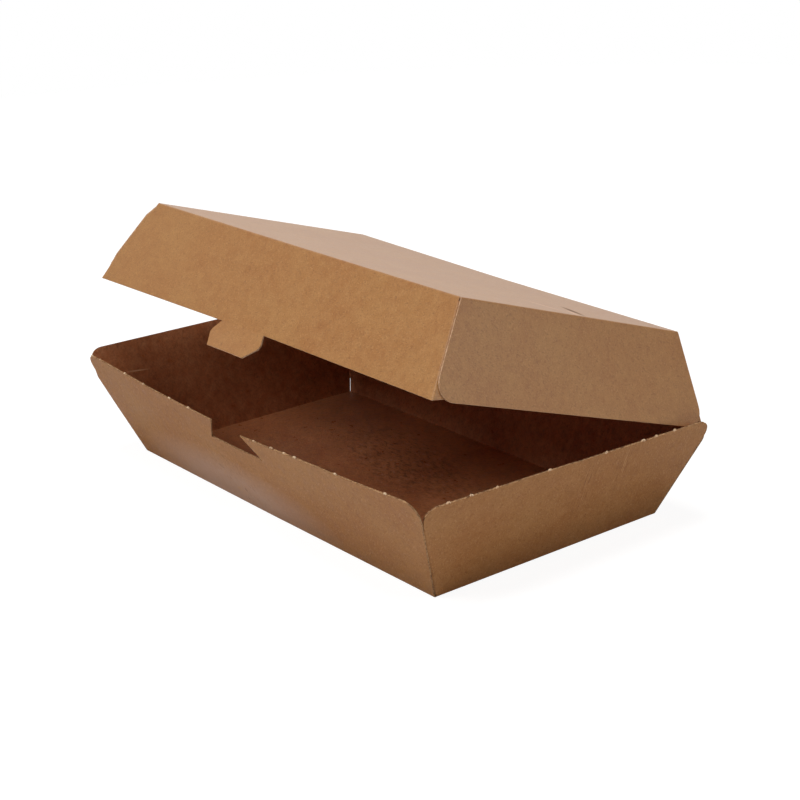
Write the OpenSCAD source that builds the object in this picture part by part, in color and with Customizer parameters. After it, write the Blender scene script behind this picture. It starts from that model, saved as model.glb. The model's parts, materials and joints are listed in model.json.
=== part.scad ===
// A hinged takeaway box, folded and glued from one die-cut blank of kraft board.
// Each panel is a slab about its own middle surface. Each crease is a round bead, a little thinner than the board.
// The origin is at the middle of the tray's underside, +Y points to the hinge and +Z up.

/* [Board] */
// Thickness of the board
board_t = 0.5; // [0.4:0.05:0.7]
// Length of a glue flap from its crease to its free edge
flap_len = 24; // [16:1:34]
// How far a glue flap's free edge is narrower than its crease, at its top and its bottom
flap_taper = 3; // [1:0.5:5]
// How much thinner than the board a crease is, where its score has crushed it
crease_crush = 0.06; // [0.04:0.02:0.12]
// Distance that a glue flap keeps from the base or the top, where it starts
flap_gap = 1.2; // [0.8:0.1:2.5]
// Distance that the lid's front flaps keep from its rim
rim_gap = 0.3; // [0.2:0.1:1]

/* [Tray] */
// Length of the base, between the end creases
base_len = 168; // [130:1:230]
// Width of the base, between the front and back creases
base_wid = 93; // [75:1:130]
// Height of the front wall's rim at its corners
front_h = 40; // [36:0.5:46]
// How far the front wall's rim dips in its middle
front_dip = 5; // [3:0.5:6]
// Height of an end wall's rim at the front
end_front_h = 37.5; // [36:0.5:42]
// Height of an end wall's rim at the back
end_back_h = 34.2; // [33:0.1:40]
// Height of the hinge crease
hinge_h = 30; // [27:0.5:31]
// Outward lean of the front wall, in degrees
front_lean = 23.5; // [18:0.5:28]
// Outward lean of the end walls, in degrees
end_lean = 23.5; // [18:0.5:28]
// Outward lean of the back wall, in degrees
back_lean = 20; // [14:0.5:26]
// Radius of the front wall's upper corners
front_corner_r = 5.5; // [2:0.5:8]
// Radius of an end wall's upper front corner
end_front_r = 4.5; // [2:0.5:7]
// Radius of an end wall's upper back corner
end_back_r = 5.5; // [2:0.5:7]

/* [Lid] */
// Depth of the lid, from its rim to its top
lid_h = 29; // [22:0.5:36]
// Slope of the lid's front and back walls from upright, in degrees
lid_lean = 21; // [14:0.5:26]
// Slope of the lid's end walls from upright, in degrees
lid_end_lean = 20; // [14:0.5:26]
// Radius of the lower corners of the lid's end walls
lid_corner_r = 5.5; // [2:0.5:8]
// Gap between the closed lid and the tray's front glue flaps
front_play = 0.4; // [0.3:0.1:1.5]
// Gap between the closed lid and the tray's end walls
end_play = 1.2; // [0.4:0.1:2.5]
// Angle that the lid stands open, in degrees
lid_open = 18.4; // [12:0.1:40]
// Gap between the edges of the tray and the lid along the hinge crease
hinge_gap = 0.45; // [0.4:0.05:0.55]

/* [Lock] */
// Width of the lock tab at the lid's rim
tab_neck_w = 24; // [18:0.5:30]
// How far each shoulder of the tab stands out past its neck
tab_shoulder = 2; // [1:0.25:3]
// Depth at which the shoulders reach their full width
shoulder_d = 3.4; // [2.5:0.1:4]
// Length of the shoulders' straight side
shoulder_side = 1.4; // [0.5:0.1:2.5]
// Depth of the tab below the lid's rim
tab_d = 9.4; // [7:0.1:11]
// Width cut off each side of the tab at its tip
tip_cut = 3.8; // [2:0.1:5]
// Depth of the notch in the front wall, below the middle of the rim
notch_d = 9.2; // [8.5:0.1:11]
// Width of the notch at the rim, between its hooks
notch_mouth_w = 15.5; // [11:0.5:20]
// Room beside each shoulder of the tab at the foot of the notch
lock_play = 0.9; // [0.6:0.1:1.5]

/* [Hidden] */
half_t = board_t / 2;
crease_d = board_t - crease_crush;
kraft = "#9c7450";
kraft_light = "#a87d55";
// Lengths measured up the slope of each wall, from its crease to its rim
front_slope = (front_h - half_t) / cos(front_lean);
back_slope = (hinge_h - half_t) / cos(back_lean);
end_front_slope = (end_front_h - half_t) / cos(end_lean);
end_back_slope = (end_back_h - half_t) / cos(end_lean);
lid_slope = (lid_h - half_t) / cos(lid_lean);
lid_end_slope = (lid_h - half_t) / cos(lid_end_lean);
// The hinge axis lies on the middle surfaces of both back walls
hinge_y = base_wid / 2 + tan(back_lean) * (hinge_h - half_t);
// The closed lid stands inside the front wall and its flaps, and between the end walls
lid_front_y = base_wid / 2 + tan(front_lean) * (hinge_h - half_t) - (2 * board_t + front_play) / cos(front_lean);
lid_rim_half = base_len / 2 + tan(end_lean) * (hinge_h - half_t) - (board_t + end_play) / cos(end_lean);
lid_inset = tan(lid_lean) * (lid_h - half_t);
top_wid = hinge_y + lid_front_y - 2 * lid_inset;
top_len = 2 * (lid_rim_half - tan(lid_end_lean) * (lid_h - half_t));
lid_mid_y = (hinge_y - lid_front_y) / 2;
// The lid's back wall stops short of the hinge axis by its own round edge, the bead's radius and the gap
hinge_setback = board_t + hinge_gap;
notch_foot_w = tab_neck_w + 2 * (tab_shoulder + lock_play);
// Past every rim, for cuts that run out of a panel
beyond = 10;
// The dip is an arc as wide as the rim
rim_half = base_len / 2 + spread(end_lean, front_lean) * front_slope;
dip_r = (rim_half * rim_half + front_dip * front_dip) / (2 * front_dip);
dip_angle = asin(rim_half / dip_r);

// Growth of a wall's half length for each millimetre up its slope, beside a neighbour that leans
function spread(neighbour_lean, own_lean) = tan(neighbour_lean) * cos(own_lean);
function unit(angle) = [cos(angle), sin(angle)];

// The parallel face at the given depth behind a wall, as a shift of where the neighbour's middle surface meets it
function shift_behind(neighbour_lean, own_lean, depth) = tan(neighbour_lean) * sin(own_lean) * depth;

// Cuts the corner at p to radius r, between edges that leave p at the angles from and to
module corner_cut(p, from, to, r) {
    half = (to - from) / 2;
    mid = (to + from) / 2;
    centre = p + unit(mid) * r / sin(half);
    difference() {
        polygon([p - unit(mid), p + unit(from) * r / tan(half), centre, p + unit(to) * r / tan(half)]);
        translate(centre) circle(r, $fn = 64);
    }
}

module slab() {
    translate([0, 0, -half_t]) linear_extrude(board_t) children();
}

// Puts a panel on the wall that leans out from a crease at the given distance from the middle
module on_wall(half, lean) {
    translate([0, -half, half_t]) rotate([90 + lean, 0, 0]) children();
}

module bead(length) {
    rotate([0, 90, 0]) cylinder(h = length, d = crease_d, center = true, $fn = 32);
}

// A floor panel with its four creases
module floor_panel(length, width) {
    translate([0, 0, half_t]) {
        cube([length, width, board_t], center = true);
        for (side = [-1, 1]) {
            translate([0, side * width / 2, 0]) bead(length);
            translate([side * length / 2, 0, 0]) rotate([0, 0, 90]) bead(width);
        }
    }
}

// A glue flap and its crease, behind the wall that it is glued to, at that wall's right end
module glue_flap(half, own_lean, neighbour_lean, low, high) {
    grow = spread(neighbour_lean, own_lean);
    shift = half + shift_behind(neighbour_lean, own_lean, board_t);
    turn = atan(grow);
    translate([0, 0, -board_t]) {
        slab() polygon([
            [shift + grow * low, low],
            [shift + grow * high, high],
            [shift + grow * high - flap_len, high - flap_taper],
            [shift + grow * low - flap_len, low + flap_taper]
        ]);
        translate([shift + grow * low, low, 0]) rotate([0, 0, -turn]) rotate([-90, 0, 0])
            cylinder(h = (high - low) / cos(turn), d = crease_d, $fn = 32);
    }
}

module notch() {
    foot = front_slope - front_dip - notch_d;
    mouth = front_slope - front_dip;
    flare = (notch_foot_w - notch_mouth_w) / 2 / notch_d;
    polygon([
        [-notch_foot_w / 2, foot],
        [notch_foot_w / 2, foot],
        [notch_mouth_w / 2, mouth],
        [notch_mouth_w / 2 - flare * front_dip / 4, mouth + beyond],
        [-notch_mouth_w / 2 + flare * front_dip / 4, mouth + beyond],
        [-notch_mouth_w / 2, mouth]
    ]);
}

module tray_front() {
    grow = spread(end_lean, front_lean);
    foot = base_len / 2 + half_t / cos(end_lean);
    slope_angle = atan2(front_slope, grow * front_slope);
    slab() difference() {
        polygon([
            [-foot, 0],
            [foot, 0],
            [foot + grow * front_slope, front_slope],
            [-foot - grow * front_slope, front_slope]
        ]);
        translate([0, front_slope - front_dip + dip_r]) circle(dip_r, $fn = 720);
        for (side = [0, 1]) mirror([side, 0])
            corner_cut([foot + grow * front_slope, front_slope], 180 + dip_angle, 180 + slope_angle, front_corner_r);
        notch();
    }
}

module tray_back() {
    grow = spread(end_lean, back_lean);
    foot = base_len / 2 + half_t / cos(end_lean);
    slab() polygon([
        [-foot, 0],
        [foot, 0],
        [foot + grow * back_slope, back_slope],
        [-foot - grow * back_slope, back_slope]
    ]);
}

// An end wall, seen from outside at the right end: -X is the front
module tray_end() {
    front_grow = spread(front_lean, end_lean);
    back_grow = spread(back_lean, end_lean);
    front_foot = -base_wid / 2 + board_t / cos(front_lean);
    back_foot = base_wid / 2 - board_t / cos(back_lean);
    front_top = [front_foot - front_grow * end_front_slope, end_front_slope];
    back_top = [back_foot + back_grow * end_back_slope, end_back_slope];
    rim_angle = atan2(front_top[1] - back_top[1], back_top[0] - front_top[0]);
    slab() difference() {
        polygon([[front_foot, 0], [back_foot, 0], back_top, front_top]);
        corner_cut(front_top, -90 + atan(front_grow), -rim_angle, end_front_r);
        corner_cut(back_top, 180 - rim_angle, 270 - atan(back_grow), end_back_r);
    }
}

module tray() color(kraft) {
    floor_panel(base_len, base_wid);
    on_wall(base_wid / 2, front_lean) {
        tray_front();
        for (side = [0, 1]) mirror([side, 0, 0])
            glue_flap(base_len / 2, front_lean, end_lean, flap_gap, end_front_slope - 2 * end_front_r);
    }
    rotate([0, 0, 180]) on_wall(base_wid / 2, back_lean) {
        tray_back();
        for (side = [0, 1]) mirror([side, 0, 0])
            glue_flap(base_len / 2, back_lean, end_lean, flap_gap, back_slope - flap_gap);
    }
    for (side = [0, 1]) mirror([side, 0, 0])
        rotate([0, 0, 90]) on_wall(base_len / 2, end_lean) tray_end();
    translate([0, hinge_y, hinge_h]) bead(2 * (base_len / 2 + spread(end_lean, back_lean) * back_slope));
}

// The lid's front wall, upside down: its crease is at 0 and the tab is past its rim
module lid_front() {
    foot = top_len / 2 - board_t / cos(lid_end_lean);
    grow = spread(lid_end_lean, lid_lean);
    neck = tab_neck_w / 2;
    wide = neck + tab_shoulder;
    shoulder = lid_slope + shoulder_d;
    tip = lid_slope + tab_d;
    slab() {
        polygon([
            [-foot, 0],
            [foot, 0],
            [foot + grow * lid_slope, lid_slope],
            [-foot - grow * lid_slope, lid_slope]
        ]);
        polygon([
            [-neck, lid_slope - board_t],
            [neck, lid_slope - board_t],
            [neck, lid_slope],
            [wide, shoulder],
            [wide, shoulder + shoulder_side],
            [wide - tip_cut, tip],
            [-wide + tip_cut, tip],
            [-wide, shoulder + shoulder_side],
            [-wide, shoulder],
            [-neck, lid_slope]
        ]);
    }
}

module lid_back() {
    foot = top_len / 2 - board_t / cos(lid_end_lean);
    grow = spread(lid_end_lean, lid_lean);
    rim = lid_slope - hinge_setback;
    slab() polygon([[-foot, 0], [foot, 0], [foot + grow * rim, rim], [-foot - grow * rim, rim]]);
    translate([0, rim, 0]) bead(2 * (foot + grow * rim));
}

// An end wall of the lid, upside down, seen from outside at the right end
module lid_end() {
    foot = top_wid / 2 + half_t / cos(lid_lean);
    grow = spread(lid_lean, lid_end_lean);
    slope_angle = atan2(1, grow);
    slab() difference() {
        polygon([
            [-foot, 0],
            [foot, 0],
            [foot + grow * lid_end_slope, lid_end_slope],
            [-foot - grow * lid_end_slope, lid_end_slope]
        ]);
        for (side = [0, 1]) mirror([side, 0])
            corner_cut([foot + grow * lid_end_slope, lid_end_slope], 180, 180 + slope_angle, lid_corner_r);
    }
}

// The lid as a tray that stands on its top panel
module lid_upside_down() {
    floor_panel(top_len, top_wid);
    on_wall(top_wid / 2, lid_lean) lid_front();
    rotate([0, 0, 180]) on_wall(top_wid / 2, lid_lean) lid_back();
    for (side = [0, 1]) mirror([side, 0, 0]) rotate([0, 0, 90]) on_wall(top_len / 2, lid_end_lean) {
        lid_end();
        mirror([1, 0, 0]) glue_flap(top_wid / 2, lid_end_lean, lid_lean, flap_gap, lid_end_slope - rim_gap);
        glue_flap(top_wid / 2, lid_end_lean, lid_lean, flap_gap, lid_end_slope - hinge_setback - flap_gap);
    }
}

module lid() color(kraft_light) {
    translate([0, hinge_y, hinge_h]) rotate([-lid_open, 0, 0])
        translate([0, lid_mid_y - hinge_y, lid_h]) mirror([0, 0, 1]) lid_upside_down();
}

tray();
lid();
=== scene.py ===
import json
import math

import bmesh
import bpy
from mathutils import Matrix, Vector


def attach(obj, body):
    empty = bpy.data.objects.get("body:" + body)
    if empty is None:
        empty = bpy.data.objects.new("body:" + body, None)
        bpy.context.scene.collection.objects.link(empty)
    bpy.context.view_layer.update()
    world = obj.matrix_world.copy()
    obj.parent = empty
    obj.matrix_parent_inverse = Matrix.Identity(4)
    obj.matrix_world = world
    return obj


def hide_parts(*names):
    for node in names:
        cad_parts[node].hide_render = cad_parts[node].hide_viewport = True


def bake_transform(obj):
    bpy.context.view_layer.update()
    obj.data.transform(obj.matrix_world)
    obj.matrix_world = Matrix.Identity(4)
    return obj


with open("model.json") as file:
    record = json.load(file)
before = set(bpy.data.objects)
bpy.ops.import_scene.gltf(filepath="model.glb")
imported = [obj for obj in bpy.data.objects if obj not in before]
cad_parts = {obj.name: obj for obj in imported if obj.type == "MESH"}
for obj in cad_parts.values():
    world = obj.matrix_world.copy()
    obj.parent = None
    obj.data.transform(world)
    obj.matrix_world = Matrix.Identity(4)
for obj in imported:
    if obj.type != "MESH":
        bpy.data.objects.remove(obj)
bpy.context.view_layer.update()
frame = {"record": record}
scene = bpy.context.scene
scene.view_settings.view_transform = "Standard"
hinge = Vector(frame["record"]["behaviour"]["joints"][0]["pos_m"])
mm = 0.001


# the camera stands where the photographer stood
view = {
    "azimuth": 53.12,  # degrees round from the front
    "elevation": 19.45,
    "roll": -2.51,
    "distance": 607.6 * mm,
    "aim": (6.15 * mm, -0.43 * mm, 30 * mm),  # right and up in the picture, then above the floor
    "lens": 79.9,
}


def placeCamera():
    azimuth = math.radians(view["azimuth"])
    elevation = math.radians(view["elevation"])
    back = Vector(
        (
            math.sin(azimuth) * math.cos(elevation),
            -math.cos(azimuth) * math.cos(elevation),
            math.sin(elevation),
        )
    )
    level = Vector((math.cos(azimuth), math.sin(azimuth), 0))
    turn = Matrix((level, back.cross(level), back)).transposed().to_4x4()
    turn = turn @ Matrix.Rotation(math.radians(view["roll"]), 4, "Z")
    right, up = turn.col[0].to_3d(), turn.col[1].to_3d()
    aimRight, aimUp, aimHeight = view["aim"]
    place = back * view["distance"] + Vector((0, 0, aimHeight)) + right * aimRight + up * aimUp
    bpy.ops.object.camera_add(location=place, rotation=turn.to_euler())
    camera = bpy.context.object
    camera.name = "photoCamera"
    camera.data.lens = view["lens"]
    camera.data.sensor_width = 36
    camera.data.clip_start = 0.01
    scene.camera = camera


placeCamera()
print("camera in place")


# shader maths on sockets
class Value:
    def __init__(self, recipe, socket):
        self.recipe = recipe
        self.socket = socket

    def maths(self, operation, first, second=0.0, clamp=False):
        return self.recipe.node(
            "ShaderNodeMath",
            {"operation": operation, "use_clamp": clamp},
            {0: first, 1: second},
        )

    def __add__(self, other):
        return self.maths("ADD", self, other)

    def __sub__(self, other):
        return self.maths("SUBTRACT", self, other)

    def __rsub__(self, other):
        return self.maths("SUBTRACT", other, self)

    def __mul__(self, other):
        return self.maths("MULTIPLY", self, other)

    def __truediv__(self, other):
        return self.maths("DIVIDE", self, other)

    __radd__ = __add__
    __rmul__ = __mul__

    def between(self, low, high):
        return self.maths("MULTIPLY", (self - low) / (high - low), 1.0, clamp=True)


class Recipe:
    def __init__(self, owner, kind="Material"):
        owner.use_nodes = True
        self.owner = owner
        self.kind = kind
        self.nodes = owner.node_tree.nodes
        self.links = owner.node_tree.links
        self.nodes.clear()

    def node(self, kind, settings=None, sockets=None, output=0):
        made = self.nodes.new(kind)
        for name, setting in (settings or {}).items():
            setattr(made, name, setting)
        for name, given in (sockets or {}).items():
            if isinstance(given, Value):
                self.links.new(given.socket, made.inputs[name])
            else:
                made.inputs[name].default_value = given
        return Value(self, made.outputs[output]) if made.outputs else None

    # a mix of two colours, whose sockets are the sixth and the seventh
    def blend(self, amount, first, second):
        return self.node(
            "ShaderNodeMix",
            {"data_type": "RGBA"},
            {0: amount, 6: first, 7: second},
            output=2,
        )

    def finish(self, shader):
        self.node("ShaderNodeOutput" + self.kind, None, {"Surface": shader})
        return self.owner


def colour(hexCode):
    channels = [int(hexCode[i : i + 2], 16) / 255 for i in (1, 3, 5)]
    linear = [c / 12.92 if c <= 0.04045 else ((c + 0.055) / 1.055) ** 2.4 for c in channels]
    return (*linear, 1.0)


# unbleached kraft board: fibres, specks and a slightly calendered face
kraft = {
    "base": "#A6733F",
    "warm": "#9F6733",
    "pale": "#BD8D5C",
    "dark": "#69401D",
    "dot": "#88501F",
    "cloudSize": 22 * mm,
    "mottleSize": 3.2 * mm,
    "dotSize": 1.9 * mm,
    "tearSize": 1.1 * mm,
    "grainSize": 0.5 * mm,
    "fibreSize": 0.5 * mm,
    "fibreLength": 6.0,  # times its width
    "grainDepth": 0.04 * mm,
    "roughness": (0.48, 0.66),
    "cloud": 0.8,  # from here to the fibres, how strongly each layer shows
    "mottle": 0.36,
    "speckle": 0.24,
    "dots": 0.3,
    "fibres": 0.34,
    "coat": 0.0,
    "coatRoughness": 0.38,
    "shine": 0.35,
}


# the noise levels between which each layer fades in
fades = {
    "cloud": (0.35, 0.65),
    "mottle": (0.4, 0.72),
    "grain": (0.42, 0.72),
    "dots": (0.56, 0.72),
    "paleFibre": (0.58, 0.7),
    "darkFibre": (0.6, 0.72),
    "roughness": (0.3, 0.7),
    "torn": (0.35, 0.65),
}


# how much each layer lifts the surface, in grain depths
lifts = {"grain": 0.6, "mottle": 0.8, "paleFibre": 0.35, "darkFibre": 0.25}


# the lid's face is calendered smoother, and a little more golden
lidFace = {
    "base": "#AF793D",
    "warm": "#A86D31",
    "pale": "#C7955A",
    "dark": "#6F441C",
    "dot": "#965A22",
    "coat": 0.9,
}


# the inner face has a grease-proof lining, which makes it glossier; its deeper, redder tone is painted
# shade, the reddened half-light inside the box
liningWithPaintedShade = {
    "base": "#BB764C",
    "warm": "#A15E3B",
    "pale": "#CE9064",
    "dark": "#65381F",
    "dot": "#7A4024",
    "roughness": (0.26, 0.5),
    "grainSize": 0.9 * mm,
    "grainDepth": 0.12 * mm,
    "mottle": 0.6,
    "speckle": 0.34,
    "dots": 0.22,
    "fibres": 0.12,
}


# what handling has left on the board, with painted sheen and highlights: where in mm, how long and wide,
# and how it is turned
trayMarks = [
    # a painted sheen: a pale grey-pink patch low on the tray's front, standing in for the floor's
    # reflection
    {"kind": "paintedSheen", "centre": (-20, -49, 5), "size": (62, 12, 17), "turn": (0, 0, 0), "amount": 0.75},
    {
        "kind": "streaks",
        "centre": (-14, -51, 12),
        "size": (26, 14, 17),
        "turn": (0, 0.96, 0),
        "amount": 0.55,
    },
    {"kind": "streaks", "centre": (94, 6, 24), "size": (16, 5, 7), "turn": (0, -1.15, 0), "amount": 1.0},
    {"kind": "streaks", "centre": (95, 22, 28), "size": (17, 6, 7), "turn": (0, -1.15, 0), "amount": 1.0},
]
trayLiningMarks = [
    # a mottled patch on the tray's floor: dark specks in the lining, and pale grey-pink specks of painted
    # sheen
    {"kind": "dimplesAndSheen", "centre": (-10, 15, 0.5), "size": (56, 24, 6), "turn": (0, 0, -0.2), "amount": 0.7},
    {
        "kind": "scratchAndHighlight",
        "centre": (-95.9, -41.8, 27.5),
        "size": (4, 6, 0.4),
        "turn": (-0.1, 0, 0.05),
        "amount": 1.0,
    },
]
lidMarks = [
    {
        "kind": "gouge",
        "centre": (73.8, 20.6, 72.8),
        "size": (12, 1.7, 5),
        "turn": (0, -0.14, -0.395),
        "amount": 0.95,
    },
    # these two pale strokes on the lid's top are painted highlights beside the gouge
    {
        "kind": "scratchAndHighlight",
        "centre": (79, 15.8, 74.4),
        "size": (6, 1.3, 5),
        "turn": (0, -0.14, -0.395),
        "amount": 0.6,
    },
    {
        "kind": "scratchAndHighlight",
        "centre": (71, 11.5, 75.8),
        "size": (12, 1.1, 5),
        "turn": (0, -0.14, 0.1),
        "amount": 0.5,
    },
]
# the sheen tones are painted reflections, and the scratch tone also paints the highlights on the lid
markTones = {"paintedSheen": "#B69480", "scratchAndHighlight": "#E2B48C", "dimplesAndSheen": "#B98F80"}
markEdge = (0.35, 1.0)  # where a mark starts to fade and where it ends, as shares of its size
dimplesAndSheen = {"scale": 15.0, "detail": 4.0, "rough": 0.65, "dark": (0.5, 0.62), "pale": (0.33, 0.42)}
streaks = {"stretch": (0.5, 4, 4), "scale": 5.0, "detail": 2.0, "pale": (0.6, 0.72), "dark": (0.3, 0.4)}


class Board(Recipe):
    def __init__(self, name, face, seed):
        super().__init__(bpy.data.materials.new(name))
        self.tones = {**kraft, **face}
        self.seed = seed
        self.place = self.node("ShaderNodeTexCoord", output="Object")
        self.gloss = self.tones["coat"]

    def noise(self, vector, scale, detail, roughness=0.5):
        sockets = {"Vector": vector, "Scale": scale, "Detail": detail, "Roughness": roughness}
        return self.node("ShaderNodeTexNoise", None, sockets)

    # each layer's pattern is shifted, so that no two lie alike
    def shifted(self, shift, turn=(0, 0, 0)):
        return self.node(
            "ShaderNodeMapping",
            None,
            {"Vector": self.place, "Rotation": turn, "Location": (shift, self.seed, shift)},
        )

    def spots(self, size, detail, shift, roughness=0.5):
        return self.noise(self.shifted(shift), 1 / size, detail, roughness)

    def fibres(self, turn, shift):
        narrow = (1 / kraft["fibreLength"], 1, 1)
        thin = self.node(
            "ShaderNodeMapping", None, {"Vector": self.shifted(shift, turn), "Scale": narrow}
        )
        return self.noise(thin, 1 / kraft["fibreSize"], detail=1.0, roughness=0.4)

    # a soft patch, with its own coordinates inside it
    def patch(self, mark):
        inside = self.node(
            "ShaderNodeMapping",
            {"vector_type": "TEXTURE"},
            {
                "Vector": self.place,
                "Location": [value * mm for value in mark["centre"]],
                "Rotation": mark["turn"],
                "Scale": [value * mm for value in mark["size"]],
            },
        )
        far = self.node("ShaderNodeVectorMath", {"operation": "LENGTH"}, {0: inside}, output="Value")
        return inside, 1 - far.between(*markEdge)

    def mark(self, board, mark):
        inside, mask = self.patch(mark)
        kind, strength = mark["kind"], mask * mark["amount"]
        pale, dark = colour(self.tones["pale"]), colour(self.tones["dark"])
        if kind == "gouge":
            self.gloss = self.gloss * (1 - mask)
            return self.blend(strength, board, dark)
        if kind == "dimplesAndSheen":
            grit = self.noise(inside, dimplesAndSheen["scale"], dimplesAndSheen["detail"], dimplesAndSheen["rough"])
            board = self.blend(grit.between(*dimplesAndSheen["dark"]) * strength, board, dark)
            # the pale specks are painted sheen, not a colour of the board
            sheenSpecks = 1 - grit.between(*dimplesAndSheen["pale"])
            return self.blend(sheenSpecks * strength, board, colour(markTones[kind]))
        if kind == "streaks":
            thin = self.node("ShaderNodeMapping", None, {"Vector": inside, "Scale": streaks["stretch"]})
            lines = self.noise(thin, streaks["scale"], streaks["detail"])
            board = self.blend(lines.between(*streaks["pale"]) * strength, board, pale)
            return self.blend((1 - lines.between(*streaks["dark"])) * strength, board, dark)
        # marks in one plain tone: the tray's painted sheen, a real scuff on the lining, and painted
        # highlights on the lid
        return self.blend(strength, board, colour(markTones[kind]))


def kraftBoard(name, face, seed, marks=()):
    recipe = Board(name, face, seed)
    tones = recipe.tones
    cloud = recipe.spots(kraft["cloudSize"], detail=3.0, shift=0.31)
    mottle = recipe.spots(kraft["mottleSize"], detail=4.0, shift=0.17, roughness=0.6)
    grain = recipe.spots(tones["grainSize"], detail=2.0, shift=0.53, roughness=0.6)
    dots = recipe.spots(kraft["dotSize"], detail=1.0, shift=0.71)
    paleFibre = recipe.fibres((0.3, 0.5, 0.6), 0.9).between(*fades["paleFibre"])
    darkFibre = recipe.fibres((-0.4, -0.7, -0.5), 1.7).between(*fades["darkFibre"])

    board = colour(tones["base"])
    layers = [
        (cloud.between(*fades["cloud"]) * tones["cloud"], "warm"),
        (mottle.between(*fades["mottle"]) * tones["mottle"], "pale"),
        (grain.between(*fades["grain"]) * tones["speckle"], "dark"),
        (dots.between(*fades["dots"]) * tones["dots"], "dot"),
        (paleFibre * tones["fibres"], "pale"),
        (darkFibre * tones["fibres"], "dark"),
    ]
    for strength, tone in layers:
        board = recipe.blend(strength, board, colour(tones[tone]))
    for mark in marks:
        board = recipe.mark(board, mark)

    low, high = tones["roughness"]
    height = (
        grain * lifts["grain"]
        + mottle * lifts["mottle"]
        + paleFibre * lifts["paleFibre"]
        - darkFibre * lifts["darkFibre"]
    )
    bump = recipe.node("ShaderNodeBump", None, {"Height": height, "Distance": tones["grainDepth"]})
    skin = {
        "Base Color": board,
        "Roughness": mottle.between(*fades["roughness"]) * (high - low) + low,
        "Normal": bump,
        "Coat Weight": recipe.gloss,
        "Coat Roughness": tones["coatRoughness"],
        "Specular IOR Level": tones["shine"],
    }
    return recipe.finish(recipe.node("ShaderNodeBsdfPrincipled", None, skin))


cutEdges = {
    "tray": ("#B48B60", "#74502F"),  # the palest and the darkest tone
    "lid": ("#D3AB88", "#AE835F"),
    "torn": ("#E6CBA9", "#C79F76"),
    "roughness": 0.85,
    "depth": 0.06 * mm,
}


def cutEdge(name, tones, seed):
    recipe = Board(name, {}, seed)
    torn = recipe.spots(kraft["tearSize"], detail=3.0, shift=0.4)
    pale, dark = (colour(tone) for tone in tones)
    tone = recipe.blend(torn.between(*fades["torn"]), dark, pale)
    bump = recipe.node("ShaderNodeBump", None, {"Height": torn, "Distance": cutEdges["depth"]})
    skin = {"Base Color": tone, "Roughness": cutEdges["roughness"], "Normal": bump}
    return recipe.finish(recipe.node("ShaderNodeBsdfPrincipled", None, skin))


trayFinish = [
    kraftBoard("trayKraft", {}, 0.0, trayMarks),
    cutEdge("trayCutEdge", cutEdges["tray"], 0.0),
    kraftBoard("trayLiningPaintedShade", liningWithPaintedShade, 1.0, trayLiningMarks),
    cutEdge("trayTornEdge", cutEdges["torn"], 5.0),
]
tornFace = 3  # the torn edge's place in the tray's finish
lidFinish = [
    kraftBoard("lidKraft", lidFace, 3.0, lidMarks),
    cutEdge("lidCutEdge", cutEdges["lid"], 2.0),
    kraftBoard("lidLiningPaintedShade", liningWithPaintedShade, 4.0),
]
print("kraft board mixed")


board = {
    "thickness": 0.5 * mm,
    "creaseRound": 0.25 * mm,
    "gridSpacing": 12 * mm,
    "gridShift": 0.37,  # of the spacing, so that no cut runs along a crease
    "gridReach": 140 * mm,
    "flapLength": 24 * mm,
    "flapTaper": 3 * mm,
    "flapGap": 1.2 * mm,
    "creaseAngle": 20,  # degrees, from which a fold is rounded
    "smoothAngle": 4,
}
flapDepth = board["thickness"] * 1.04  # a flap lies just behind its cover
near = 0.01 * mm
touching = 0.1 * mm


def pick(piece):
    if bpy.context.mode != "OBJECT":
        bpy.ops.object.mode_set(mode="OBJECT")
    bpy.ops.object.select_all(action="DESELECT")
    piece.select_set(True)
    bpy.context.view_layer.objects.active = piece


def selectBy(piece, mode, test):
    bpy.ops.mesh.select_mode(type=mode)
    bpy.ops.mesh.select_all(action="DESELECT")
    mesh = bmesh.from_edit_mesh(piece.data)
    elements = {"VERT": mesh.verts, "EDGE": mesh.edges, "FACE": mesh.faces}[mode]
    chosen = [element for element in elements if test(element)]
    for element in chosen:
        element.select_set(True)
    mesh.select_flush_mode()
    bmesh.update_edit_mesh(piece.data)
    return len(chosen)


def isNear(point, place):
    return (point - place).length < near


def joins(edge, ends):
    first, second = (vertex.co for vertex in edge.verts)
    return any(isNear(first, a) and isNear(second, b) for a, b in (ends, reversed(ends)))


def placesOf(piece):
    return [vertex.co.copy() for vertex in bmesh.from_edit_mesh(piece.data).verts]


def nudge(piece, place, move):
    selectBy(piece, "VERT", lambda vertex: isNear(vertex.co, place))
    bpy.ops.transform.translate(value=move)


# folds a new panel up from one edge, so that the edge's ends reach the two given tops
def raisePanel(piece, ends, tops):
    first, second = tops[0] - ends[0], tops[1] - ends[1]
    selectBy(piece, "EDGE", lambda edge: joins(edge, ends))
    bpy.ops.mesh.extrude_region_move(TRANSFORM_OT_translate={"value": first})
    nudge(piece, ends[1] + first, second - first)


def cutPanel(piece, onPanel, point, normal):
    selectBy(piece, "FACE", lambda face: onPanel(face.calc_center_median()))
    bpy.ops.mesh.bisect(plane_co=point, plane_no=normal)


def roundCorner(piece, place, radius):
    selectBy(piece, "VERT", lambda vertex: isNear(vertex.co, place))
    corner = next(vertex for vertex in bmesh.from_edit_mesh(piece.data).verts if vertex.select)
    first, second = (edge.other_vert(corner).co - corner.co for edge in corner.link_edges)
    reach = radius / math.tan(first.angle(second) / 2)
    bpy.ops.mesh.bevel(
        affect="VERTICES", offset=reach, segments=8, profile=0.5, clamp_overlap=False
    )


# growth of a wall's half length for each step up its slope, beside a neighbour that leans
def spread(neighbourLean, ownLean):
    return math.tan(math.radians(neighbourLean)) * math.cos(math.radians(ownLean))


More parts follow.
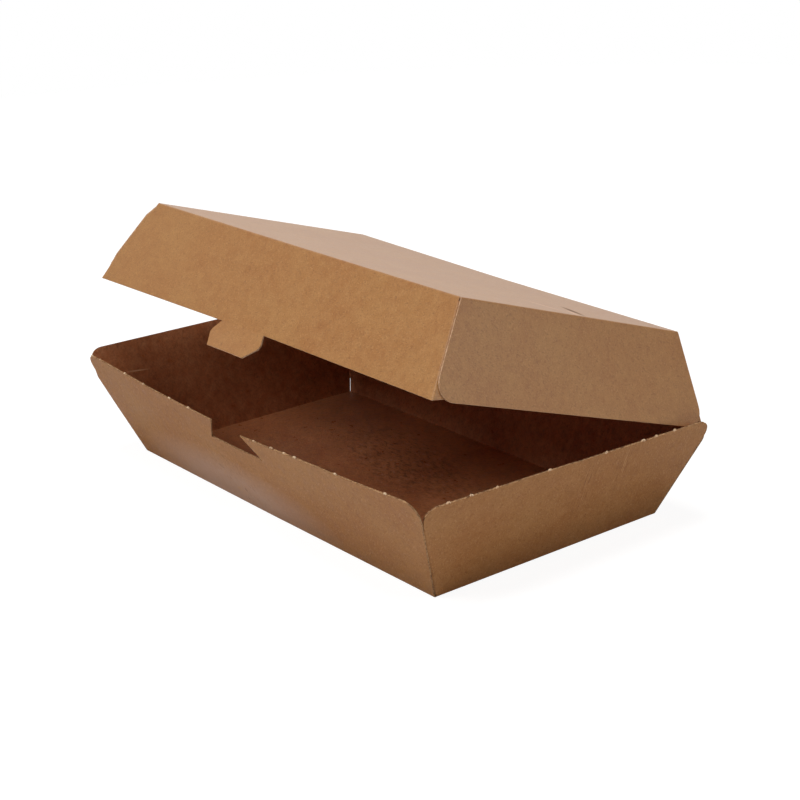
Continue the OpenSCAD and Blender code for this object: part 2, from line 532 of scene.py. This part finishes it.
# a wall's own frame, on the board's middle surface: across it, up its slope, and behind it
class Wall:
    def __init__(self, turn, reach, lean):
        self.lean = lean
        turned = Matrix.Rotation(math.radians(turn), 3, "Z")
        sine, cosine = math.sin(math.radians(lean)), math.cos(math.radians(lean))
        self.foot = turned @ Vector((0, -reach, board["thickness"] / 2))
        self.across = turned @ Vector((1, 0, 0))
        self.up = turned @ Vector((0, -sine, cosine))
        self.inward = turned @ Vector((0, cosine, sine))

    def at(self, across, up, behind=0.0):
        return self.foot + self.across * across + self.up * up + self.inward * behind

    def slope(self, height):
        return (height - board["thickness"] / 2) / math.cos(math.radians(self.lean))

    def heightOf(self, point):
        return (point - self.foot).dot(self.up)

    def behind(self, point):
        return (point - self.foot).dot(self.inward)

    def holds(self, point):
        return abs(self.behind(point)) < touching and self.heightOf(point) > touching / 2


# a glue flap folds from the carrier's side edge and lies behind the cover
def foldFlap(piece, cover, carrier, side, half, low, high):
    grow = spread(carrier.lean, cover.lean)
    carrierLean, coverLean = math.radians(carrier.lean), math.radians(cover.lean)
    shift = half + math.tan(carrierLean) * math.sin(coverLean) * flapDepth
    crease = [cover.at(side * (shift + grow * up), up, flapDepth) for up in (low, high)]
    for place in crease:
        cutPanel(piece, carrier.holds, place, carrier.up)
    selectBy(piece, "EDGE", lambda edge: joins(edge, crease))
    length, taper = board["flapLength"], board["flapTaper"]
    free = [
        cover.at(side * (shift + grow * low - length), low + taper, flapDepth),
        cover.at(side * (shift + grow * high - length), high - taper, flapDepth),
    ]
    raisePanel(piece, crease, free)


def mirrorHalf(piece):
    bpy.ops.object.mode_set(mode="OBJECT")
    twin = piece.modifiers.new("otherHalf", "MIRROR")
    twin.merge_threshold = 2 * near
    bpy.ops.object.modifier_apply(modifier=twin.name)
    bpy.ops.object.mode_set(mode="EDIT")
    bpy.ops.mesh.select_all(action="SELECT")
    bpy.ops.mesh.normals_make_consistent(inside=False)


def foldCreases(piece):
    def isCrease(edge):
        return len(edge.link_faces) == 2 and edge.calc_face_angle() > math.radians(board["creaseAngle"])

    selectBy(piece, "EDGE", isCrease)
    bpy.ops.mesh.bevel(affect="EDGES", offset=board["creaseRound"], segments=2, profile=0.5)


# a grid of cuts lets the board bend
def cutGrid():
    spacing = board["gridSpacing"]
    steps = int(board["gridReach"] / spacing)
    for axis in range(3):
        normal = Vector([float(axis == i) for i in range(3)])
        for step in range(-steps, steps + 1):
            point = normal * (step + board["gridShift"]) * spacing
            bpy.ops.mesh.select_all(action="SELECT")
            bpy.ops.mesh.bisect(plane_co=point, plane_no=normal)


# a lattice, three knots across and two each way else, pulls the corners to where the photograph has them
def pullCorners(piece, turn, pulls):
    inside = [turn.transposed() @ vertex.co for vertex in piece.data.vertices]
    low = Vector([min(point[i] for point in inside) for i in range(3)])
    high = Vector([max(point[i] for point in inside) for i in range(3)])
    bpy.ops.object.add(type="LATTICE", location=turn @ ((low + high) / 2), rotation=turn.to_euler())
    cage = bpy.context.object
    cage.scale = high - low
    cage.data.points_u = 3
    for way in ("interpolation_type_u", "interpolation_type_v", "interpolation_type_w"):
        setattr(cage.data, way, "KEY_LINEAR")
    for (across, back, up), pull in pulls.items():
        knot = cage.data.points[across + 3 * back + 6 * up]
        knot.co_deform += Vector([pull[i] * mm / cage.scale[i] for i in range(3)])
    pick(piece)
    warp = piece.modifiers.new("handling", "LATTICE")
    warp.object = cage
    bpy.ops.object.modifier_apply(modifier=warp.name)
    bpy.data.objects.remove(cage)


def thicken(piece, finish):
    for material in finish:
        piece.data.materials.append(material)
    wall = piece.modifiers.new("board", "SOLIDIFY")
    wall.thickness = board["thickness"]
    wall.offset = 0
    wall.use_even_offset = True
    wall.material_offset_rim = 1
    wall.material_offset = 2
    bpy.ops.object.modifier_apply(modifier=wall.name)
    bpy.ops.object.mode_set(mode="EDIT")
    bpy.ops.mesh.select_all(action="SELECT")
    bpy.ops.mesh.quads_convert_to_tris(ngon_method="BEAUTY")
    bpy.ops.object.mode_set(mode="OBJECT")


def isRim(edge, height):
    first, second = (vertex.co for vertex in edge.verts)
    flat = abs(first.z - second.z) < 0.5 * (first - second).length
    return edge.is_boundary and flat and min(first.z, second.z) > height


# the cutting rule leaves fine teeth along the tray's rim, and none on some stretches
def toothRim(piece, walls, rim):
    step = rim["toothStep"]

    def isLong(edge):
        return isRim(edge, rim["above"]) and edge.calc_length() > step * rim["longest"]

    while selectBy(piece, "EDGE", isLong):
        bpy.ops.mesh.subdivide(number_cuts=1)
    for wall in walls:
        for order, share in enumerate(rim["toothShares"]):

            def isTooth(vertex):
                along = vertex.co.dot(wall.across)
                strong = math.sin(along / rim["swell"]) > rim["bare"]
                onRim = wall.holds(vertex.co) and all(
                    isRim(edge, rim["above"]) for edge in vertex.link_edges if edge.is_boundary
                )
                inTurn = int(along / step) % rim["every"] == order
                return onRim and vertex.is_boundary and strong and inTurn

            selectBy(piece, "VERT", isTooth)
            bpy.ops.transform.translate(value=-wall.up * rim["toothDepth"] * share)


# small bridges that held the blank in its sheet leave torn nicks
def tearNicks(piece, wall, places, nick, isEdge):
    for place in places:

        def isTorn(edge):
            middle = (edge.verts[0].co + edge.verts[1].co) / 2
            off = abs(middle.dot(wall.across) - place)
            return isEdge(edge) and wall.holds(middle) and off < nick["width"] / 2

        if not selectBy(piece, "EDGE", isTorn):
            continue
        bpy.ops.mesh.extrude_region_move(TRANSFORM_OT_translate={"value": wall.up * nick["height"]})
        mesh = bmesh.from_edit_mesh(piece.data)
        for edge in mesh.edges:
            if edge.select:
                for face in edge.link_faces:
                    face.material_index = tornFace
        tops = [vertex.co for vertex in mesh.verts if vertex.select]
        middle = sum(tops, Vector()) / len(tops)
        bpy.ops.transform.resize(value=[nick["tip"]] * 3, center_override=middle)


def finishBoard(piece, node, body):
    pick(piece)
    bpy.ops.object.shade_smooth_by_angle(angle=math.radians(board["smoothAngle"]))
    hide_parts(node)
    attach(piece, body)
    print(piece.name, "made:", len(piece.data.polygons), "faces")


def startFloor(name, half, width, bends):
    bpy.ops.mesh.primitive_plane_add(size=1, location=(0, 0, 0))
    piece = bpy.context.object
    piece.name = piece.data.name = name
    bpy.ops.object.mode_set(mode="EDIT")
    bpy.ops.transform.resize(value=(half, width, 1))
    bpy.ops.transform.translate(value=(half / 2, 0, board["thickness"] / 2))
    for point, normal in bends:
        bpy.ops.mesh.select_all(action="SELECT")
        bpy.ops.mesh.bisect(plane_co=point, plane_no=normal)
    return piece


tray = {
    "length": 168 * mm,
    "width": 93 * mm,
    "front": {"height": 40 * mm, "lean": 23.5, "corner": 5.5 * mm},
    "frontDip": {"depth": 5 * mm, "band": 8 * mm, "cuts": 24},  # of the rim, in the middle
    "end": {"frontHeight": 37.5 * mm, "backHeight": 34.2 * mm, "lean": 23.5},
    "endCorners": (4.5 * mm, 5.5 * mm),
    "back": {"height": 30 * mm, "lean": 20},
    "notch": {"depth": 9.2 * mm, "mouth": 15.5 * mm, "foot": 29.8 * mm},
    "backCorner": 3 * mm,
    "slit": 5 * mm,  # light shows through the open foot of the back corners
    "rim": {
        "above": 31 * mm,
        "toothStep": 0.45 * mm,
        "longest": 1.6,  # steps that an edge of the rim may keep
        "toothDepth": 0.28 * mm,
        "toothShares": (1.0, 0.45),  # of the depth, for a tooth and the one after it
        "every": 3,  # steps
        "swell": 9 * mm,
        "bare": -0.3,  # the lower, the fewer stretches without teeth
    },
    "nick": {"width": 1.4 * mm, "height": 0.45 * mm, "tip": 0.55},
    "frontNicks": (-93, -86, -68, -55, -37, -24, 16, 26, 33.5, 39, 61, 85.5),  # in mm
    "rightNicks": (-52, -43.5, -34, -13, 10, 26, 31.5, 40),
    # knots of the lattice, across, back and up, and how far each is pulled, in mm
    "pulls": {(0, 0, 1): (2.1, 1.9, 0.0), (1, 0, 1): (-2.2, 0, 0), (2, 0, 0): (0.2, 1.0, 0)},
    "leftRimLift": (1.3, 3.0),  # at the front and at the back, in mm
    "bendAbove": 2 * mm,  # the notch's foot, where the front wall starts to bend
    "leftCorner": {"reach": 14 * mm, "bend": (2.4, 0.5, -0.9), "start": 0.35},  # pressed in by a hand
    "hookSag": {"from": 7.5 * mm, "reach": 44 * mm, "depth": 1.3 * mm, "curve": 1.5},
    "notchTear": {"beyond": 7 * mm, "reach": 1 * mm, "width": 1.2 * mm},  # wider at its left side
}


def makeTray():
    length, width, thick = tray["length"], tray["width"], board["thickness"]
    front = Wall(0, width / 2, tray["front"]["lean"])
    right = Wall(90, length / 2, tray["end"]["lean"])
    back = Wall(180, width / 2, tray["back"]["lean"])
    insetFront = flapDepth / math.cos(math.radians(front.lean))
    insetBack = flapDepth / math.cos(math.radians(back.lean))
    ends = [-width / 2 + insetFront, width / 2 - insetBack]
    piece = startFloor("trayBoard", length / 2, width, [((0, y, 0), (0, 1, 0)) for y in ends])

    # front and back walls, half of each
    frontSlope = front.slope(tray["front"]["height"])
    foot = [front.at(0, 0), front.at(length / 2, 0)]
    frontHalf = length / 2 + thick / 2 / math.cos(math.radians(right.lean))
    corner = front.at(frontHalf + spread(right.lean, front.lean) * frontSlope, frontSlope)
    raisePanel(piece, foot, [front.at(0, frontSlope), corner])
    backSlope = back.slope(tray["back"]["height"])
    foot = [back.at(0, 0), back.at(-length / 2, 0)]
    backTop = back.at(-frontHalf - spread(right.lean, back.lean) * backSlope, backSlope)
    raisePanel(piece, foot, [back.at(0, backSlope), backTop])
    roundCorner(piece, backTop, tray["backCorner"])

    # the end wall, and its two glue flaps
    slopes = [right.slope(tray["end"][end]) for end in ("frontHeight", "backHeight")]
    grows = [spread(front.lean, right.lean), spread(back.lean, right.lean)]
    tops = [
        right.at(ends[0] - grows[0] * slopes[0], slopes[0]),
        right.at(ends[1] + grows[1] * slopes[1], slopes[1]),
    ]
    raisePanel(piece, [right.at(end, 0) for end in ends], tops)
    for top, radius in zip(tops, tray["endCorners"]):
        roundCorner(piece, top, radius)
    straight = [slope - 2 * radius for slope, radius in zip(slopes, tray["endCorners"])]
    foldFlap(piece, front, right, 1, length / 2, board["flapGap"], straight[0])
    foldFlap(piece, back, right, -1, length / 2, tray["slit"], straight[1])

    # the front rim dips in the middle
    roundCorner(piece, corner, tray["front"]["corner"])
    rimHalf = corner.x

    def onFrontRim(edge):
        return edge.is_boundary and all(
            abs(front.heightOf(vertex.co) - frontSlope) < near for vertex in edge.verts
        )

    selectBy(piece, "EDGE", onFrontRim)
    dip = tray["frontDip"]
    bpy.ops.mesh.subdivide(number_cuts=dip["cuts"])
    for place in placesOf(piece):
        if front.holds(place) and front.heightOf(place) > frontSlope - dip["band"]:
            nudge(piece, place, -front.up * dip["depth"] * (1 - (place.x / rimHalf) ** 2))

    # the dovetail notch
    notch = tray["notch"]
    footSlope = frontSlope - dip["depth"] - notch["depth"]
    flare = (notch["foot"] - notch["mouth"]) / 2 / notch["depth"]
    edgeNormal = (front.across + front.up * flare).normalized()
    corner = front.at(notch["foot"] / 2, footSlope)
    cutPanel(piece, front.holds, corner, edgeNormal)
    cutPanel(piece, front.holds, front.at(0, footSlope), front.up)

    def inNotch(face):
        centre = face.calc_center_median()
        above = front.holds(centre) and front.heightOf(centre) > footSlope
        return above and (centre - corner).dot(edgeNormal) < 0

    selectBy(piece, "FACE", inNotch)
    bpy.ops.mesh.delete(type="FACE")

    mirrorHalf(piece)
    left = Wall(-90, length / 2, tray["end"]["lean"])

    # the left end stands a little higher, from just above its flaps, and its corner is pressed in
    aboveFlaps = min(straight[0] + 0.5 * mm, backSlope + 1 * mm)
    for side, lift in zip((1, -1), tray["leftRimLift"]):

        def onLeftRim(vertex):
            high = left.holds(vertex.co) and left.heightOf(vertex.co) > aboveFlaps
            return high and vertex.co.y * side < 0

        selectBy(piece, "VERT", onLeftRim)
        bpy.ops.transform.translate(value=left.up * lift * mm)
    bendSlope = footSlope + tray["bendAbove"]
    cutPanel(piece, front.holds, front.at(0, bendSlope), front.up)
    press, sag = tray["leftCorner"], tray["hookSag"]
    for place in placesOf(piece):
        if not front.holds(place) or front.heightOf(place) < bendSlope + touching:
            continue
        pressed = min(1.0, (rimHalf - press["reach"] + place.x) / -press["reach"] + press["start"])
        beyond = (place.x - sag["from"]) / sag["reach"]
        if place.x < press["reach"] - rimHalf:
            nudge(piece, place, Vector(press["bend"]) * mm * pressed)
        elif 0 <= beyond < 1:
            nudge(piece, place, -front.up * sag["depth"] * (1 - beyond) ** sag["curve"])
    tear = tray["notchTear"]

    def atNotchLeft(vertex):
        inReach = -notch["foot"] / 2 - tear["reach"] < vertex.co.x < -tear["beyond"]
        high = front.holds(vertex.co) and front.heightOf(vertex.co) > footSlope - touching
        return inReach and high

    selectBy(piece, "VERT", atNotchLeft)
    bpy.ops.transform.translate(value=(-tear["width"], 0, 0))
    toothRim(piece, (front, right), tray["rim"])

    def onRim(edge):
        return isRim(edge, tray["rim"]["above"])

    for wall, nicks in ((front, "frontNicks"), (right, "rightNicks")):
        tearNicks(piece, wall, [place * mm for place in tray[nicks]], tray["nick"], onRim)
    foldCreases(piece)
    cutGrid()
    bpy.ops.object.mode_set(mode="OBJECT")
    pullCorners(piece, Matrix.Identity(3), tray["pulls"])
    thicken(piece, trayFinish)
    finishBoard(piece, "tray", "tray_body")


makeTray()

lid = {
    "height": 29 * mm,
    "lean": 21,
    "endLean": 20,
    "corner": 5.5 * mm,
    "frontPlay": 0.4 * mm,
    "endPlay": 1.2 * mm,
    "hingeGap": 0.45 * mm,
    "rimGap": 0.3 * mm,
    "open": 18.4,  # degrees
    # half the tab's outline: across, below the rim, and bent forward
    "tab": ((12, 0, 0), (14, 3.4, 0.3), (14, 4.8, 0.5), (10.2, 9.4, 1.4)),
    # the left front corner bulges between these heights, and the end comes off its flap at the rim
    "bulge": {
        "rows": (1.5 * mm, 5 * mm, 20 * mm),
        "out": (0, 1.9 * mm, 1.6 * mm),
        "beside": 12 * mm,
        "rimGap": 0.8 * mm,
    },
    # knots of the lattice as for the tray, turned with the lid
    "pulls": {
        (0, 1, 1): (0, 0, 2.0),
        (2, 1, 1): (0, 0, -0.9),
        (0, 0, 0): (0, 0, -1.9),
        (1, 0, 0): (-3.6, 0, 0),
    },
}


def makeLid():
    thick = board["thickness"]
    rise = hinge.z - thick / 2
    front, end = (math.radians(tray[name]["lean"]) for name in ("front", "end"))
    frontReach = (
        tray["width"] / 2 + math.tan(front) * rise - (2 * thick + lid["frontPlay"]) / math.cos(front)
    )
    rimHalf = tray["length"] / 2 + math.tan(end) * rise - (thick + lid["endPlay"]) / math.cos(end)
    lean, endLean = math.radians(lid["lean"]), math.radians(lid["endLean"])
    deep = lid["height"] - thick / 2
    width = hinge.y + frontReach - 2 * math.tan(lean) * deep
    half = rimHalf - math.tan(endLean) * deep
    footHalf = half - flapDepth / math.cos(endLean)
    piece = startFloor("lidBoard", half, width, [((footHalf, 0, 0), (1, 0, 0))])
    frontWall = Wall(0, width / 2, lid["lean"])
    backWall = Wall(180, width / 2, lid["lean"])
    endWall = Wall(90, half, lid["endLean"])

    # the front wall with its tab, and the back wall, half of each
    slope = frontWall.slope(lid["height"])
    grow = spread(lid["endLean"], lid["lean"])
    foot = [frontWall.at(0, 0), frontWall.at(footHalf, 0)]
    neck = lid["tab"][0][0] * mm
    rimCorner = frontWall.at(footHalf + grow * slope, slope)
    raisePanel(piece, foot, [frontWall.at(0, slope), rimCorner])
    cutPanel(piece, frontWall.holds, frontWall.at(neck, 0), frontWall.across)
    previous = [frontWall.at(0, slope), frontWall.at(neck, slope)]
    for across, below, bent in lid["tab"][1:]:
        row = [frontWall.at(x * mm, slope + below * mm, -bent * mm) for x in (0, across)]
        raisePanel(piece, previous, row)
        previous = row
    backSlope = slope - thick - lid["hingeGap"]
    foot = [backWall.at(0, 0), backWall.at(-footHalf, 0)]
    backCorner = backWall.at(-footHalf - grow * backSlope, backSlope)
    raisePanel(piece, foot, [backWall.at(0, backSlope), backCorner])

    # the end wall covers the flaps of both
    endSlope = endWall.slope(lid["height"])
    endFoot = [endWall.at(-width / 2, 0), endWall.at(width / 2, 0)]
    coverHalf = width / 2 + thick / 2 / math.cos(lean) + spread(lid["lean"], lid["endLean"]) * endSlope
    corners = [endWall.at(-coverHalf, endSlope), endWall.at(coverHalf, endSlope)]
    raisePanel(piece, endFoot, corners)
    for corner in corners:
        roundCorner(piece, corner, lid["corner"])
    gap = board["flapGap"]
    foldFlap(piece, endWall, frontWall, -1, width / 2, gap, endSlope - lid["rimGap"])
    foldFlap(piece, endWall, backWall, 1, width / 2, gap, endSlope - thick - lid["hingeGap"] - gap)
    mirrorHalf(piece)

    # the left front corner bulges, the wall over it and the flap behind it alike
    leftEnd = Wall(-90, half, lid["endLean"])
    bulge = lid["bulge"]
    rows, beside = bulge["rows"], bulge["beside"] - half
    cutPanel(piece, frontWall.holds, Vector((beside, 0, 0)), frontWall.across)
    for row in rows:
        cutPanel(piece, lambda centre: centre.x < beside, Vector((0, 0, row)), Vector((0, 0, 1)))
    for place in placesOf(piece):
        if place.y > 0 or leftEnd.behind(place) > 2 * thick:
            continue
        out = sum(far for row, far in zip(rows, bulge["out"]) if abs(place.z - row) < touching)
        if place.z > rows[-1] + touching and leftEnd.holds(place):
            out = bulge["rimGap"]
        nudge(piece, place, (-out, 0, 0))
    foldCreases(piece)
    cutGrid()

    # turned over on to its rim, and opened about the hinge
    bpy.ops.mesh.select_all(action="SELECT")
    bpy.ops.transform.resize(value=(1, 1, -1), center_override=(0, 0, 0))
    bpy.ops.mesh.flip_normals()
    closed = Vector((0, (hinge.y - frontReach) / 2, hinge.z + lid["height"]))
    bpy.ops.transform.translate(value=closed)
    bpy.ops.object.mode_set(mode="OBJECT")
    turn = Matrix.Rotation(-math.radians(lid["open"]), 3, "X")
    opened = Matrix.Translation(hinge) @ turn.to_4x4() @ Matrix.Translation(-hinge)
    piece.matrix_world = opened
    pick(piece)
    bpy.ops.object.transform_apply(location=True, rotation=True, scale=True)
    pullCorners(piece, turn, lid["pulls"])
    thicken(piece, lidFinish)
    finishBoard(piece, "lid", "lid_body")


makeLid()

hingeCrease = {
    "length": 188 * mm,
    "below": 0.3 * mm,  # on the tray's back wall
    "above": 0.95 * mm,  # on the lid's
    "steps": 8,
    "worn": 0.9,  # of the board's thickness is left in the crease
    "smoothAngle": 40,
}


def makeHingeCrease():
    lidLean = lid["lean"] - lid["open"]
    lidUp = Matrix.Rotation(math.radians(lidLean), 3, "X") @ Vector((0, 0, 1))
    below, above = hingeCrease["below"], hingeCrease["above"]
    bpy.ops.mesh.primitive_plane_add(
        size=1,
        location=hinge + lidUp * (above - below) / 2,
        rotation=(math.radians(90 + lidLean), 0, 0),
    )
    piece = bpy.context.object
    piece.name = piece.data.name = "hingeCrease"
    piece.scale = (hingeCrease["length"], above + below, 1)
    bpy.ops.object.transform_apply(location=True, rotation=True, scale=True)
    bpy.ops.object.mode_set(mode="EDIT")
    for step in range(1, hingeCrease["steps"]):
        bpy.ops.mesh.select_all(action="SELECT")
        height = -below + (above + below) * step / hingeCrease["steps"]
        bpy.ops.mesh.bisect(plane_co=hinge + lidUp * height, plane_no=lidUp)
    selectBy(piece, "VERT", lambda vertex: (vertex.co - hinge).dot(lidUp) < -near)
    bend = math.radians(lidLean + tray["back"]["lean"])
    bpy.ops.transform.rotate(value=bend, orient_axis="X", orient_type="GLOBAL", center_override=hinge)
    bpy.ops.object.mode_set(mode="OBJECT")
    wall = piece.modifiers.new("board", "SOLIDIFY")
    wall.thickness = board["thickness"] * hingeCrease["worn"]
    wall.offset = 0
    bpy.ops.object.modifier_apply(modifier=wall.name)
    piece.data.materials.append(trayFinish[0])
    bpy.ops.object.shade_smooth_by_angle(angle=math.radians(hingeCrease["smoothAngle"]))
    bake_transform(piece)
    print("hinge crease made")


makeHingeCrease()

studio = {
    "floorSize": 0.9,
    "floorTone": 0.9,
    "floorRoughness": 0.9,
    "floorWhite": 0.91,  # plain white that the camera sees in the floor
    "floorShade": 0.27,  # share of the floor's own light and shadow that it sees
    "ambient": 0.075,
    "warmth": (1.0, 0.92, 0.86),  # of the light that the backdrop throws back
    "behind": (0.3, 0.8),  # where the white backdrop starts and is full, away from the camera
    "aim": (0, 0, 50 * mm),  # of all the lights
    "key": {"power": 6.2, "size": 0.5, "place": (-0.12, -0.98, 0.86)},
    "side": {"power": 3.5, "size": 0.9, "place": (1.0, 0.6, 0.5)},
    "top": {"power": 9.2, "size": 0.6, "place": (0, -0.1, 1.35)},
}


def aimedLight(name, light):
    place = Vector(light["place"])
    turn = (Vector(studio["aim"]) - place).to_track_quat("-Z", "Y").to_euler()
    bpy.ops.object.light_add(type="AREA", location=place, rotation=turn)
    lamp = bpy.context.object
    lamp.name = name
    lamp.data.shape = "DISK"
    lamp.data.size = light["size"]
    lamp.data.energy = light["power"]


def floorFinish():
    recipe = Recipe(bpy.data.materials.new("studioFloor"))
    tone = studio["floorTone"]
    paint = {"Base Color": (tone, tone, tone, 1), "Roughness": studio["floorRoughness"]}
    plain = recipe.node("ShaderNodeBsdfPrincipled", None, paint)
    seen = recipe.node("ShaderNodeLightPath", output="Is Camera Ray")
    glow = {"Color": (1, 1, 1, 1), "Strength": seen * studio["floorWhite"]}
    white = recipe.node("ShaderNodeEmission", None, glow)
    dark = recipe.node("ShaderNodeBsdfDiffuse", None, {"Color": (0, 0, 0, 1)})
    hidden = seen * (1 - studio["floorShade"])
    shaded = recipe.node("ShaderNodeMixShader", None, {0: hidden, 1: plain, 2: dark})
    return recipe.finish(recipe.node("ShaderNodeAddShader", None, {0: shaded, 1: white}))


# white for the camera, and for reflections of what is behind the box, and dim all round
def makeBackdrop():
    scene.world = bpy.data.worlds.new("studioWorld")
    recipe = Recipe(scene.world, "World")
    seen = recipe.node("ShaderNodeLightPath", output="Is Camera Ray")
    mirrored = recipe.node("ShaderNodeLightPath", output="Is Glossy Ray")
    direction = recipe.node("ShaderNodeTexCoord", output="Generated")
    azimuth = math.radians(view["azimuth"])
    away = recipe.node(
        "ShaderNodeVectorMath",
        {"operation": "DOT_PRODUCT"},
        {0: direction, 1: (-math.sin(azimuth), math.cos(azimuth), 0)},
        output="Value",
    )
    shown = seen.maths("MAXIMUM", seen, mirrored * away.between(*studio["behind"]))
    tint = recipe.blend(seen, (*studio["warmth"], 1), (1, 1, 1, 1))
    sky = {"Color": tint, "Strength": shown * (1 - studio["ambient"]) + studio["ambient"]}
    recipe.finish(recipe.node("ShaderNodeBackground", None, sky))


def makeStudio():
    bpy.ops.mesh.primitive_circle_add(
        vertices=96, radius=studio["floorSize"], fill_type="NGON", location=(0, 0, 0)
    )
    floor = bpy.context.object
    floor.name = "studioFloor"
    floor.data.materials.append(floorFinish())
    makeBackdrop()
    for name in ("key", "side", "top"):
        aimedLight(name + "Light", studio[name])
    print("studio lit")


makeStudio()
